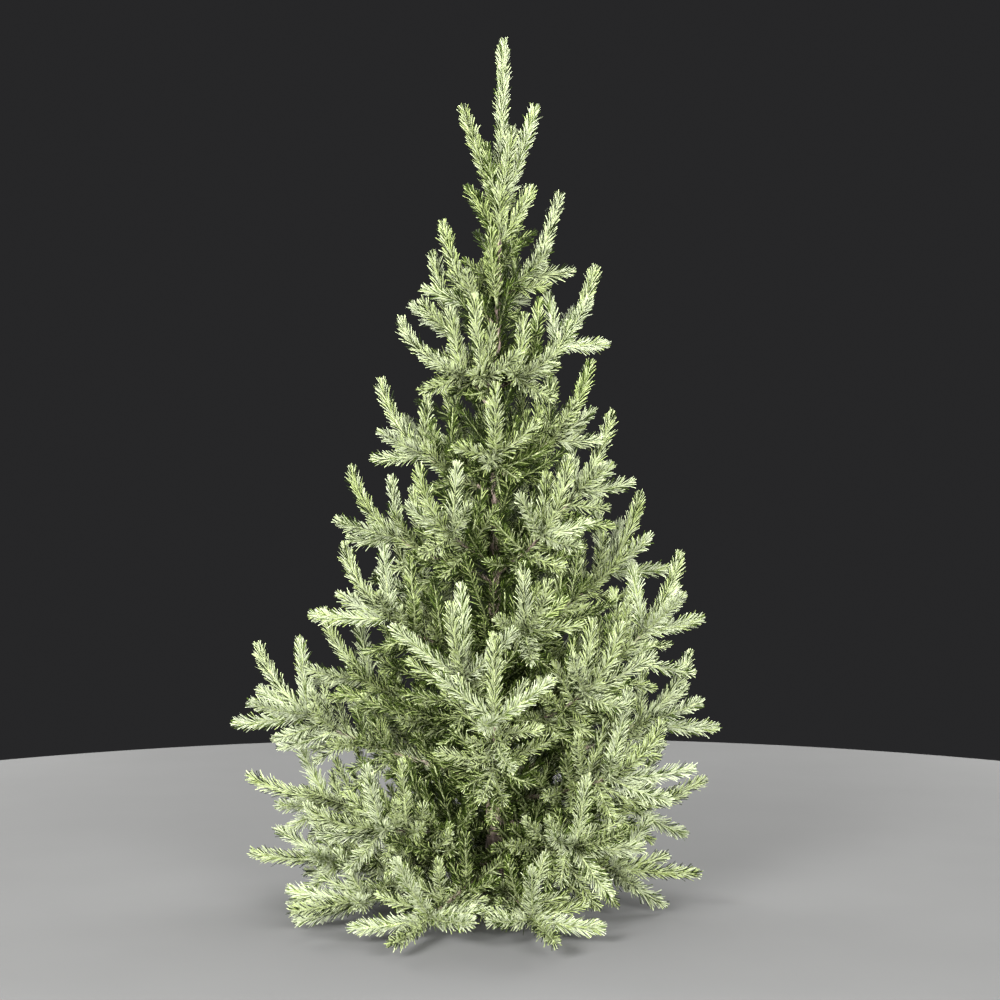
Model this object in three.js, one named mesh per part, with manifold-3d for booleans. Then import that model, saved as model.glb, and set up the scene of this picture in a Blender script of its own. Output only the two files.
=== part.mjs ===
// A young spruce, clothed in foliage from the ground to its leader.
// Units are millimetres and degrees and +Z is up.
// The origin is the middle of the flat cut at ground level.
// A way is the direction that a bough leaves in: 0 is +X, 90 is +Y and 270 is -Y.
import * as THREE from "three";
import Module from "manifold-3d";

const wasm = await Module();
wasm.setup();

// ---------- driving sizes ----------

const trunk = {
  height: 2290, // the wood ends inside the needles of the leader
  footRadius: 27,
  tipRadius: 2,
  flare: 15, // how far the root flare stands out of the foot
  flareHeight: 45, // over which it fades to a third
  lean: 22, // how far the tip stands towards +X
  bow: 9, // a slight bend in the middle
  sides: 12,
  rings: 11,
};

// The leader and the ring of shoots round its foot are one mass, with the trunk running up inside it.
const leader = {
  foot: 1835,
  tip: 2350,
  core: 18, // wood and needle bases round the trunk
  coreTip: 11,
  ringHeight: 1868,
  ringWays: [352, 62, 128, 184, 232, 292],
  ringLengths: [255, 205, 185, 245, 155, 180],
  ringTilt: 25, // degrees from upright at their roots
  ringLift: 0.16,
  sides: 6,
  step: 46,
};

// Tiers of boughs from the top down. A tier's boughs leave the trunk at foot.
// Each goes its own way, and ends reach away from the trunk at tip.
// upright is the part of its rise that it makes in its last, steep stretch.
const tiers = [
  {
    tier: 2,
    foot: 1610,
    upright: 0.6,
    core: 30,
    shoots: 115,
    boughs: [
      { way: 352, reach: 165, tip: 1905 },
      { way: 190, reach: 150, tip: 1830 },
      { way: 262, reach: 130, tip: 1795 },
      { way: 75, reach: 145, tip: 1845 },
    ],
  },
  {
    tier: 3,
    foot: 1390,
    upright: 0.6,
    core: 40,
    shoots: 125,
    boughs: [
      { way: 8, reach: 270, tip: 1715 },
      { way: 160, reach: 185, tip: 1760 },
      { way: 205, reach: 275, tip: 1560 },
      { way: 252, reach: 190, tip: 1615 },
      { way: 318, reach: 250, tip: 1545 },
      { way: 95, reach: 220, tip: 1665 },
    ],
  },
  {
    tier: 4,
    foot: 1160,
    upright: 0.6,
    core: 48,
    shoots: 135,
    boughs: [
      { way: 345, reach: 260, tip: 1450 },
      { way: 178, reach: 310, tip: 1405 },
      { way: 270, reach: 265, tip: 1375 },
      { way: 120, reach: 280, tip: 1440 },
      { way: 52, reach: 262, tip: 1420 },
    ],
  },
  {
    tier: 5,
    foot: 930,
    upright: 0.6,
    core: 58,
    shoots: 150,
    boughs: [
      { way: 0, reach: 315, tip: 1315 },
      { way: 168, reach: 405, tip: 1165 },
      { way: 235, reach: 340, tip: 1165 },
      { way: 305, reach: 330, tip: 1185 },
      { way: 85, reach: 350, tip: 1225 },
    ],
  },
  {
    tier: 6,
    foot: 705,
    upright: 0.6,
    core: 68,
    shoots: 165,
    boughs: [
      { way: 10, reach: 405, tip: 1095 },
      { way: 200, reach: 420, tip: 960 },
      { way: 288, reach: 430, tip: 875 },
      { way: 130, reach: 440, tip: 975 },
      { way: 60, reach: 430, tip: 985 },
    ],
  },
  {
    tier: 7,
    foot: 500,
    upright: 0.6,
    core: 76,
    shoots: 175,
    boughs: [
      { way: 352, reach: 500, tip: 935 },
      { way: 172, reach: 475, tip: 775 },
      { way: 256, reach: 440, tip: 815 },
      { way: 310, reach: 490, tip: 765 },
      { way: 72, reach: 510, tip: 795 },
    ],
  },
  {
    tier: 8,
    foot: 335,
    upright: 0.6,
    core: 80,
    shoots: 180,
    boughs: [
      { way: 182, reach: 640, tip: 685 },
      { way: 270, reach: 500, tip: 745 },
      { way: 356, reach: 525, tip: 665 },
      { way: 318, reach: 560, tip: 520 },
      { way: 60, reach: 570, tip: 615 },
      { way: 125, reach: 590, tip: 615 },
    ],
  },
  {
    tier: 9,
    foot: 205,
    upright: 0.45,
    core: 80,
    shoots: 185,
    boughs: [
      { way: 225, reach: 620, tip: 310 },
      { way: 300, reach: 620, tip: 285 },
      { way: 14, reach: 595, tip: 300 },
      { way: 90, reach: 590, tip: 310 },
      { way: 172, reach: 680, tip: 320 },
    ],
  },
  {
    tier: 10,
    foot: 95,
    upright: 0.3,
    core: 60,
    shoots: 180,
    boughs: [
      { way: 198, reach: 655, tip: 165 },
      { way: 222, reach: 665, tip: 70 },
      { way: 250, reach: 695, tip: 42 },
      { way: 282, reach: 680, tip: 48 },
      { way: 338, reach: 560, tip: 115 },
      { way: 80, reach: 560, tip: 60 },
    ],
  },
];
const limbedTiers = [8, 9];

const bough = {
  outward: 14, // degrees that the last stretch leans away from the trunk
  lastRun: 0.12, // or the least share of the reach that this stretch covers
  firstRise: 0.24, // share of the rise made over the first half of the reach
  stagger: 56, // how much lower every second bough of a tier sits
  footSpread: 16, // and how much the feet of a tier differ
  limbShare: 0.24, // share of a limbed bough's length that is bare wood
  limbRadius: 10,
  limbTipRadius: 6.5,
  limbSides: 5,
  terminal: 225, // the clean last shoot
  swell: 80, // over which the dense core behind it reaches its width
  roomShare: 0.62, // widest core, as a share of the distance from the trunk
  flatness: 0.8, // depth of the core against its width
  bareRadius: 46, // no needles stand nearer to the trunk than this
  stemShare: 0.34, // thickness of a mass's stem there, against the trunk's
  sides: 6,
  step: 66, // between two rings of needle sprays
};

const shoot = {
  core: 16, // needle bases round a bough's last shoot
  coreTip: 10,
  tooth: 11, // how far a spray stands out of the core
  lastTooth: 2, // and at the shoot's last ring
  toothShare: 0.26, // and how much more on a wide core
  forward: 1.7, // how far it leans ahead, as a share of that
  point: 28, // needles ahead of the tip
};

const sideShoot = {
  core: 18,
  coreTip: 12,
  step: 50,
  leastRise: 7, // that its rings stand off the face that it grows from
  rootShare: 1.2, // width where a shoot leaves the core, against its own
  shown: 50, // the least that one stands out of its bough's core
  shortShare: 0.72, // length of the short shoots between the groups
  spacing: 86, // between two groups along a bough
  shortest: 0.42, // as a share of the length that a tier's shoots have
  offStem: 45, // no shoots grow this near to the stem's foot
  divergence: 58,
  lastDivergence: 50, // of the ring at the last shoot's foot
  lift: 0.12, // how far a shoot curves up, as a share of its length
  outerShare: 0.45, // beyond it, two shoots of one bough keep apart, too
  tipRadius: 3,
};

const gap = 0.3; // between two pieces that meet
const clearance = 2.5; // between the needle tips of two masses
const offGround = 3;
const seed = 0.37;

// ---------- seeded rule ----------

// The same number from 0 to 1 each time for the same keys.
function chance(...keys) {
  let value = seed;
  for (const key of keys) {
    const wave = Math.sin(value * 12.9898 + key * 78.233) * 43758.5453;
    value = wave - Math.floor(wave);
  }
  return value;
}

const spread = (...keys) => 2 * chance(...keys) - 1;
const radians = (degrees) => (degrees * Math.PI) / 180;
const mix = (a, b, t) => a + (b - a) * t;
const up = new THREE.Vector3(0, 0, 1);

function wayVector(way) {
  return new THREE.Vector3(Math.cos(radians(way)), Math.sin(radians(way)), 0);
}

// ---------- closed bodies over rings ----------

// Every second corner round a column stands out as a spray of needles.
const isTooth = (ring, side) => (ring + side) % 2 === 0;

// The two faces between one side of a ring and the same side of the next. Their crease spares the teeth.
function sideFaces(near, far, ring, side) {
  const ahead = (side + 1) % near.length;
  const [a, b, c, d] = [near[side], near[ahead], far[side], far[ahead]];
  if (isTooth(ring, side)) return [[a, b, c], [c, b, d]];
  return [[a, b, d], [a, d, c]];
}

// Adds rings of corners to a body, on from an outline that it has already, and closes them with a tip.
function drawOut(body, outline, rings, tip) {
  let near = outline;
  rings.forEach((corners, ring) => {
    const far = corners.map((corner) => body.corners.push(corner) - 1);
    near.forEach((_, side) => body.faces.push(...sideFaces(near, far, ring, side)));
    near = far;
  });
  const end = body.corners.push(tip) - 1;
  near.forEach((corner, side) => body.faces.push([corner, near[(side + 1) % near.length], end]));
}

// A closed column over rings of equally many corners.
function column(rings, foot, tip) {
  const [first, ...others] = rings;
  const body = { corners: [foot, ...first], faces: [] };
  const outline = first.map((_, side) => side + 1);
  outline.forEach((corner, side) => body.faces.push([0, outline[(side + 1) % outline.length], corner]));
  drawOut(body, outline, others, tip);
  return body;
}

function solidOf(body) {
  return new wasm.Manifold(
    new wasm.Mesh({
      numProp: 3,
      vertProperties: new Float32Array(body.corners.flatMap((corner) => corner.toArray())),
      triVerts: new Uint32Array(body.faces.flat()),
    }),
  );
}

// Corners round a frame, the width along its side direction and the depth across it.
function ringRound(frame, sides, width, depth) {
  return Array.from({ length: sides }, (_, side) => {
    const angle = (side / sides) * 2 * Math.PI;
    return frame.middle
      .clone()
      .addScaledVector(frame.side, width * Math.cos(angle))
      .addScaledVector(frame.top, depth * Math.sin(angle));
  });
}

// The middle, direction and two cross directions of a path at t, turned about the direction.
function frameAt(path, t, turn = 0) {
  const ahead = path.ahead(t);
  const side = path.side.clone().applyAxisAngle(ahead, turn);
  const top = new THREE.Vector3().crossVectors(ahead, side).normalize();
  return { middle: path.point(t), ahead, side, top };
}

// ---------- trunk ----------

function trunkMiddle(z) {
  const share = z / trunk.height;
  return new THREE.Vector3(trunk.lean * share - trunk.bow * Math.sin(Math.PI * share), 0, z);
}

function trunkRadius(z) {
  const share = Math.min(1, z / trunk.height);
  const taper = mix(trunk.footRadius, trunk.tipRadius, Math.pow(share, 0.9));
  return taper + trunk.flare * Math.exp(-z / trunk.flareHeight);
}

// The trunk, or a solid a little thicker all over for cutting its neighbours clear.
function trunkSolid(extra) {
  const rings = [];
  for (let ring = 0; ring <= trunk.rings; ring += 1) {
    const z = trunk.height * Math.pow(ring / trunk.rings, 1.45);
    const frame = {
      middle: trunkMiddle(z),
      side: new THREE.Vector3(1, 0, 0),
      top: new THREE.Vector3(0, 1, 0),
    };
    if (ring === trunk.rings) frame.middle.z += extra;
    const radius = trunkRadius(z) + extra * 1.05;
    rings.push(ringRound(frame, trunk.sides, radius, radius));
  }
  const tip = trunkMiddle(trunk.height);
  tip.z += extra;
  return solidOf(column(rings, trunkMiddle(0), tip));
}

// ---------- paths ----------

// A shoot that starts straight and curves up.
function shootPath(root, way, length, lift) {
  const start = way.clone().normalize();
  const side = new THREE.Vector3().crossVectors(up, start);
  if (side.lengthSq() < 1e-4) side.set(0, 1, 0);
  side.normalize();
  return {
    length,
    side,
    point: (t) =>
      root
        .clone()
        .addScaledVector(start, length * t)
        .addScaledVector(up, length * lift * t * t),
    ahead: (t) => start.clone().addScaledVector(up, 2 * lift * t).normalize(),
  };
}

// A bough in its own upright plane: out from the trunk, then up into its steep last stretch.
function boughPath(tier, index) {
  const { way, reach, tip } = tier.boughs[index];
  const out = wayVector(way);
  const drop = index % 2 ? Math.min(bough.stagger, tier.foot * 0.3) : 0;
  const foot = tier.foot - drop + bough.footSpread * spread(tier.tier, index, 3);
  const rise = tip - foot;
  const middle = trunkMiddle(foot);
  const lean = Math.tan(radians(bough.outward));
  const steep = Math.abs(rise) * tier.upright;
  const place = (r, z) => middle.clone().addScaledVector(out, r).setZ(z);
  const curve = new THREE.CubicBezierCurve3(
    place(0, foot),
    place(reach * 0.5, foot + rise * bough.firstRise),
    place(reach - Math.max(steep * lean, reach * bough.lastRun), tip - steep),
    place(reach, tip),
  );
  return {
    length: curve.getLength(),
    side: new THREE.Vector3().crossVectors(up, out).normalize(),
    point: (t) => curve.getPointAt(t),
    ahead: (t) => curve.getTangentAt(t),
  };
}

// The stretch of a path from one share of its length to another.
function stretch(path, from, to) {
  return {
    length: path.length * (to - from),
    side: path.side,
    point: (t) => path.point(mix(from, to, t)),
    ahead: (t) => path.ahead(mix(from, to, t)),
  };
}

// ---------- limbs and shoots ----------

function limbSolid(path) {
  const count = Math.max(2, Math.round(path.length / 90));
  const rings = [];
  for (let ring = 0; ring <= count; ring += 1) {
    const radius = mix(bough.limbRadius, bough.limbTipRadius, ring / count);
    rings.push(ringRound(frameAt(path, ring / count), bough.limbSides, radius, radius));
  }
  return solidOf(column(rings, path.point(0), path.point(1)));
}

// Corners round a shoot, some standing out and ahead as sprays of needles.
// core(t, middle) is its {width, depth, tooth} at each place.
function needledRing(path, t, ring, sides, core, turn = 0) {
  const frame = frameAt(path, t, turn);
  const { width, depth, tooth } = core(t, frame.middle);
  const corners = ringRound(frame, sides, width, depth);
  if (ring === 0 || tooth === 0) return corners;
  const tips = ringRound(frame, sides, width + tooth, depth + tooth);
  return corners.map((corner, side) =>
    isTooth(ring, side) ? tips[side].addScaledVector(frame.ahead, tooth * shoot.forward) : corner,
  );
}

const needlePoint = (path) => path.point(1).addScaledVector(path.ahead(1), shoot.point);

function needledColumn(path, { sides, step }, core) {
  const count = Math.max(2, Math.round(path.length / step));
  const rings = [];
  for (let ring = 0; ring <= count; ring += 1) {
    rings.push(needledRing(path, ring / count, ring, sides, core));
  }
  return column(rings, path.point(0), needlePoint(path));
}

// The face of a body that a path leaves it through, among those that no shoot has grown out of yet.
function wayOut(body, path) {
  const ray = new THREE.Ray(path.point(0), path.ahead(0));
  for (const face of body.bare) {
    const [a, b, c] = face.map((corner) => body.corners[corner]);
    const place = ray.intersectTriangle(a, b, c, false, new THREE.Vector3());
    if (place) return { face, place, t: place.distanceTo(ray.origin) / path.length };
  }
  return null;
}

// The rings of a three-sided shoot that grows out of one face of a body.
function shootRings(body, path, exit, core) {
  const outline = exit.face.map((corner) => body.corners[corner]);
  const span = outline.reduce((sum, corner) => sum + corner.distanceTo(exit.place), 0) / 3;
  const share = Math.min(0.85, (sideShoot.rootShare * core(0).width) / span);
  const root = outline.map((corner) => exit.place.clone().lerp(corner, share));
  const rings = [root];
  const count = Math.max(1, Math.round((path.length * (1 - exit.t)) / sideShoot.step));
  for (let ring = 1; ring <= count; ring += 1) {
    const t = mix(exit.t, 1, ring / count);
    rings.push(needledRing(path, t, ring, 3, core, turnTo(path, t, root)));
  }
  return rings;
}

// Whether a shoot stands up from its face and runs clear of the rest of its body.
function isApart(body, rings, exit, tip) {
  const [root, ...others] = rings;
  const plane = new THREE.Plane().setFromCoplanarPoints(...root);
  if (others.flat().some((corner) => plane.distanceToPoint(corner) < sideShoot.leastRise)) return false;
  return solidOf(column(rings, exit.place, tip)).intersect(solidOf(body)).volume() < 0.01;
}

// Draws a shoot out of one face of a body.
function sprout(body, rings, exit, tip) {
  body.faces.splice(body.faces.indexOf(exit.face), 1);
  body.bare.splice(body.bare.indexOf(exit.face), 1);
  drawOut(body, exit.face, rings, tip);
}

// The turn that sets a ring's corners in line with those of an outline, as nearly as they can be.
function turnTo(path, t, outline) {
  const frame = frameAt(path, t);
  let [x, y] = [0, 0];
  outline.forEach((corner, side) => {
    const off = corner.clone().sub(frame.middle);
    const ownTurn = (side / outline.length) * 2 * Math.PI;
    const turn = Math.atan2(off.dot(frame.top), off.dot(frame.side)) - ownTurn;
    x += Math.cos(turn);
    y += Math.sin(turn);
  });
  return Math.atan2(y, x);
}

const roundCore = ({ core, coreTip }) => (t) => {
  const radius = mix(core, coreTip, t);
  return { width: radius, depth: radius, tooth: t < 1 ? shoot.tooth : shoot.lastTooth };
};

const fromTrunk = (place) => Math.hypot(place.x - trunkMiddle(place.z).x, place.y);

// A bough's dense core: slim at its stem, widest in the middle, and slim again along its last shoot.
function boughCore(tier, axis, room) {
  return (t, middle) => {
    const distance = fromTrunk(middle);
    const stem = bough.stemShare * trunkRadius(axis.point(0).z);
    if (t === 0 || distance < bough.bareRadius) return { width: stem, depth: stem, tooth: 0 };
    const behind = axis.length * (1 - t) - bough.terminal;
    const swell = THREE.MathUtils.smoothstep(behind, 0, bough.swell);
    const slim = mix(shoot.coreTip, shoot.core, Math.min(1, (1 - t) * 2));
    const full = mix(slim, tier.core, swell);
    const tooth = shoot.tooth + shoot.toothShare * (full - slim);
    const widest = Math.min(bough.roomShare * distance, room(middle) - clearance, middle.z - offGround);
    const scale = Math.min(1, widest / (full + tooth));
    const width = full * scale;
    if (t === 1) return { width, depth: width, tooth: shoot.lastTooth * scale };
    return { width, depth: width * mix(1, bough.flatness, swell), tooth: tooth * scale };
  };
}

// ---------- keeping each mass to its own space ----------

const taken = []; // round spots that a piece fills: {owner, middle, radius, isOuter, isTip}
const middles = []; // places along every bough's axis: {owner, middle}

// Half the way from a place to the nearest axis of another mass.
function roomBeside(owner) {
  const others = middles.filter((other) => other.owner !== owner);
  return (place) => Math.min(...others.map((other) => other.middle.distanceTo(place))) / 2;
}

function spotsAlong(path, core, from = 0) {
  const count = Math.max(2, Math.ceil((path.length * (1 - from)) / 14));
  const spots = [];
  for (let step = 0; step <= count; step += 1) {
    const t = mix(from, 1, step / count);
    const middle = path.point(t);
    const { width, tooth } = core(t, middle);
    const isOuter = from > 0 && t > sideShoot.outerShare;
    spots.push({ middle, radius: width + tooth, isOuter, isTip: false });
  }
  spots.push({ middle: needlePoint(path), radius: sideShoot.tipRadius, isOuter: true, isTip: true });
  return spots;
}

function claim(owner, spots) {
  for (const spot of spots) taken.push({ owner, ...spot });
}

// A shoot stays clear of all other pieces, and its outer part of its own mass, too.
function isFree(owner, spots) {
  return spots.every(
    (spot) =>
      spot.middle.z > spot.radius + offGround &&
      taken.every(
        (other) =>
          (other.owner === owner && !(spot.isOuter && (other.isOuter || spot.isTip))) ||
          other.middle.distanceTo(spot.middle) > other.radius + spot.radius + clearance,
      ),
  );
}

// Shoots that leave a bough's axis in groups, from the foot of its last shoot back to the trunk.
// A roll is the side that a shoot leaves from: 0 and 180 are level, 90 is up and 270 is down.
// Short shoots between the groups close up the inside of the crown.
function sideShoots({ tier, axis, keys }, isShort) {
  const found = [];
  const first = bough.terminal + (isShort ? sideShoot.spacing / 2 : 0);
  const kind = isShort ? 1 : 0;
  const stations = Math.ceil((axis.length - sideShoot.offStem - first) / sideShoot.spacing);
  for (let station = 0; station < stations; station += 1) {
    const behind = first + station * sideShoot.spacing;
    const frame = frameAt(axis, 1 - behind / axis.length);
    rollsAt(station, isShort).forEach((roll, index) => {
      const random = (which) => spread(...keys, kind, station, index, which);
      const turn = radians(roll + 18 * random(1));
      const open = station || isShort ? sideShoot.divergence : sideShoot.lastDivergence;
      const divergence = radians(open + 8 * random(2));
      const way = frame.ahead
        .clone()
        .multiplyScalar(Math.cos(divergence))
        .addScaledVector(frame.side, Math.sin(divergence) * Math.cos(turn))
        .addScaledVector(frame.top, Math.sin(divergence) * Math.sin(turn));
      const share = isShort ? sideShoot.shortShare : 1;
      found.push({ root: frame.middle, way, length: tier.shoots * share * (1 + 0.2 * random(3)) });
    });
  }
  return found;
}

function rollsAt(station, isShort) {
  if (isShort) return [50, 130, 230, 310];
  if (station === 0) return [-8, 188, 268, 88];
  return station % 2 ? [24, 156, 92] : [-8, 188, 268];
}

// ---------- the masses ----------

const group = new THREE.Group();

const bark = new THREE.MeshStandardMaterial({ color: 0x8a7a68, roughness: 0.9, metalness: 0 });
const foliage = new THREE.MeshStandardMaterial({ color: 0xa9b97c, roughness: 0.7, metalness: 0 });

function addSolid(name, solid, material) {
  const mesh = solid.getMesh();
  const corners = new Float32Array(mesh.numVert * 3);
  for (let corner = 0; corner < mesh.numVert; corner += 1) {
    const from = corner * mesh.numProp;
    corners.set(mesh.vertProperties.subarray(from, from + 3), corner * 3);
  }
  const geometry = new THREE.BufferGeometry()
    .setAttribute("position", new THREE.BufferAttribute(corners, 3))
    .setIndex(new THREE.BufferAttribute(mesh.triVerts, 1));
  geometry.computeVertexNormals();
  const made = new THREE.Mesh(geometry, material);
  made.name = name;
  group.add(made);
}

// The solid's largest piece, without any scrap that a cut left loose.
function withoutScraps(solid) {
  return solid.decompose().sort((a, b) => b.volume() - a.volume())[0];
}

const trunkCutter = trunkSolid(gap);

function addTrunk() {
  addSolid("trunk", trunkSolid(0), bark);
  for (let z = 0; z <= trunk.height; z += 14) {
    claim("trunk", [{ middle: trunkMiddle(z), radius: trunkRadius(z) }]);
  }
}

// A bough is one mass, whose stem starts at the trunk or at the tip of a bare limb.
function boughAxis(tier, index) {
  const whole = boughPath(tier, index);
  const name = `${tier.tier}_${index + 1}`;
  const limbed = limbedTiers.includes(tier.tier);
  if (limbed) {
    const limb = stretch(whole, 0, bough.limbShare);
    addSolid(`bough_${name}`, withoutScraps(limbSolid(limb).subtract(trunkCutter)), bark);
    claim(`bough_${name}`, spotsAlong(limb, () => ({ width: bough.limbRadius, tooth: 0 })));
  }
  const axis = stretch(whole, limbed ? bough.limbShare + gap / whole.length : 0, 1);
  return { tier, owner: `foliage_${name}`, axis, keys: [tier.tier, index] };
}

// Needled axes come before all side shoots, so that only side shoots have to give way.
function growAxis(mass) {
  const core = boughCore(mass.tier, mass.axis, roomBeside(mass.owner));
  claim(mass.owner, spotsAlong(mass.axis, core));
  mass.body = needledColumn(mass.axis, bough, core);
  mass.body.bare = [...mass.body.faces];
  mass.twigs = [...sideShoots(mass, false), ...sideShoots(mass, true)];
}

function growSideShoot({ owner, body, tier }, twig) {
  const core = roundCore(sideShoot);
  for (let length = twig.length; length > sideShoot.shortest * tier.shoots; length *= 0.8) {
    const path = shootPath(twig.root, twig.way, length, sideShoot.lift);
    const exit = wayOut(body, path);
    if (!exit || length * (1 - exit.t) < sideShoot.shown) continue;
    const spots = spotsAlong(path, core, exit.t);
    if (!isFree(owner, spots)) continue;
    const rings = shootRings(body, path, exit, core);
    if (!isApart(body, rings, exit, needlePoint(path))) continue;
    claim(owner, spots);
    sprout(body, rings, exit, needlePoint(path));
    return;
  }
}

// The leader, and the ring of shoots that stand up round its foot.
function addLeader() {
  const owner = "foliage_leader";
  const sleeve = {
    length: leader.tip - leader.foot - shoot.point,
    side: new THREE.Vector3(1, 0, 0),
    point: (t) => trunkMiddle(mix(leader.foot, leader.tip - shoot.point, t)),
    ahead: () => up.clone(),
  };
  const sleeveCore = roundCore(leader);
  const shoots = [solidOf(needledColumn(sleeve, leader, sleeveCore))];
  claim(owner, spotsAlong(sleeve, sleeveCore));
  const core = roundCore(sideShoot);
  leader.ringWays.forEach((way, index) => {
    const root = trunkMiddle(leader.ringHeight + 14 * (index % 2));
    const tilt = radians(leader.ringTilt + 4 * spread(1, index));
    const start = wayVector(way).multiplyScalar(Math.sin(tilt)).addScaledVector(up, Math.cos(tilt));
    const path = shootPath(root, start, leader.ringLengths[index], leader.ringLift);
    claim(owner, spotsAlong(path, core));
    shoots.push(solidOf(needledColumn(path, { sides: 4, step: sideShoot.step }, core)));
  });
  addSolid(owner, withoutScraps(wasm.Manifold.union(shoots).subtract(trunkCutter)), foliage);
}

addTrunk();
addLeader();
const masses = tiers.flatMap((tier) => tier.boughs.map((_, index) => boughAxis(tier, index)));
for (const { owner, axis } of masses) {
  const count = Math.ceil(axis.length / 20);
  for (let step = 0; step <= count; step += 1) middles.push({ owner, middle: axis.point(step / count) });
}
masses.forEach(growAxis);
const mostTwigs = Math.max(...masses.map((mass) => mass.twigs.length));
for (let turn = 0; turn < mostTwigs; turn += 1) {
  for (const mass of masses) {
    if (mass.twigs[turn]) growSideShoot(mass, mass.twigs[turn]);
  }
}
for (const { owner, body } of masses) {
  addSolid(owner, withoutScraps(solidOf(body).subtract(trunkCutter)), foliage);
}

export default group;
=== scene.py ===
# A young spruce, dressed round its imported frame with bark, twigs and needles.
# Lengths are in metres, and angles in degrees unless a note says radians.
import math

import bpy
import numpy as np
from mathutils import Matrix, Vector


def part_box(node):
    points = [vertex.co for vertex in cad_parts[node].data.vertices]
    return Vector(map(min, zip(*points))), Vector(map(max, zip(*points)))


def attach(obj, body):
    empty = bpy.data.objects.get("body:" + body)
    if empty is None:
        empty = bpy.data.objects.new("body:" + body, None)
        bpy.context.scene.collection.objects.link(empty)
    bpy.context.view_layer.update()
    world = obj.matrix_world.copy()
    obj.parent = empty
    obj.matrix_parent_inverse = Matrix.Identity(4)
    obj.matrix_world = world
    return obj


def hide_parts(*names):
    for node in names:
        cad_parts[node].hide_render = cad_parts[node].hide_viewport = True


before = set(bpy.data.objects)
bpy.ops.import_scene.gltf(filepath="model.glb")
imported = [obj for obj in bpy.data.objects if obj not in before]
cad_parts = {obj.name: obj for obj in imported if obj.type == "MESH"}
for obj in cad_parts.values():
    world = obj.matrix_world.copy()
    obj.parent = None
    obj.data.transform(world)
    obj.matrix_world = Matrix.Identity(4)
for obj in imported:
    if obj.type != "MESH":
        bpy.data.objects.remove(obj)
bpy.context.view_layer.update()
foliageNodes = sorted(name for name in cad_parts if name.startswith("foliage"))
limbNodes = sorted(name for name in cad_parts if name.startswith("bough"))
print("frame loaded with", len(foliageNodes), "foliage masses and", len(limbNodes), "bare limbs")

upward = np.array([0.0, 0.0, 1.0])
seed = 0.37


# The same number from 0 to 1 each time for the same keys.
def chance(*keys):
    value = seed
    for key in keys:
        wave = math.sin(value * 12.9898 + key * 78.233) * 43758.5453
        value = wave - math.floor(wave)
    return value


def spread(*keys):
    return 2 * chance(*keys) - 1


def mix(a, b, t):
    return a + (b - a) * t


def unit(vectors):
    return vectors / np.maximum(np.linalg.norm(vectors, axis=-1, keepdims=True), 1e-9)


# A way is a compass direction: 0 is +X and 90 is +Y.
def wayVector(way):
    return np.array([math.cos(math.radians(way)), math.sin(math.radians(way)), 0.0])


def lineLength(line):
    return float(np.linalg.norm(np.diff(line, axis=0), axis=1).sum())


# Points at the given shares of a line's length.
def pointsAt(line, shares):
    place = np.clip(np.asarray(shares, float), 0, 1) * (len(line) - 1)
    before = np.minimum(place.astype(int), len(line) - 2)
    part = (place - before)[..., None]
    return line[before] * (1 - part) + line[before + 1] * part


def headings(line):
    return unit(np.gradient(line, axis=0))


def headingsAt(line, shares):
    return unit(pointsAt(headings(line), shares))


# Directions across a line: the level one, and the one that stands square on it.
def crossings(ahead):
    level = np.cross(upward, ahead)
    flat = np.linalg.norm(level, axis=-1, keepdims=True)
    level = np.where(flat < 0.08, np.array([0.0, 1.0, 0.0]), level)
    level = unit(level - ahead * (level * ahead).sum(-1, keepdims=True))
    return level, np.cross(ahead, level)


def evenSteps(points, step):
    run = np.concatenate([[0], np.cumsum(np.linalg.norm(np.diff(points, axis=0), axis=1))])
    marks = np.linspace(0, run[-1], max(3, round(run[-1] / step) + 1))
    return np.stack([np.interp(marks, run, points[:, axis]) for axis in range(3)], axis=1)


trunk = {
    "height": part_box("trunk")[1].z,
    "footRadius": 0.027,
    "tipRadius": 0.002,
    "taper": 0.9,  # 1 is a straight cone
    "flare": 0.015,  # how far the root flare stands out
    "flareHeight": 0.045,
    "lean": 0.022,
    "bow": 0.009,
    "ridges": 9,  # soft buttresses round the foot
    "ridgeTwist": 1.3,
    "ridgeDepth": 0.10,
    "ridgeHeight": 0.072,
    "sides": 48,
    "rings": 300,
    "ringSpread": 1.15,  # over 1, the rings lie closer near the foot
    "scaleSize": 0.0042,  # of the bark's flakes
    "scaleStretch": 0.45,  # under 1, they are taller than wide
    "scaleDepth": 0.0011,
    "scaleWrap": 0.030,  # radius on which their pattern is drawn
    "fineShare": 0.6,  # of flakes half as large
    "midDepth": 0.45,  # lies on the trunk's true radius
    "fullDepthFrom": 0.02,  # radius under which they grow shallower
    "leastDepth": 0.2,
}


def trunkMiddle(z):
    share = np.asarray(z, float) / trunk["height"]
    x = trunk["lean"] * share - trunk["bow"] * np.sin(math.pi * share)
    return np.stack([x, np.zeros_like(share), share * trunk["height"]], axis=-1)


def trunkRadius(z):
    height = np.asarray(z, float)
    share = np.clip(height / trunk["height"], 0, 1)
    stem = mix(trunk["footRadius"], trunk["tipRadius"], share ** trunk["taper"])
    return stem + trunk["flare"] * np.exp(-height / trunk["flareHeight"])


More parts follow.
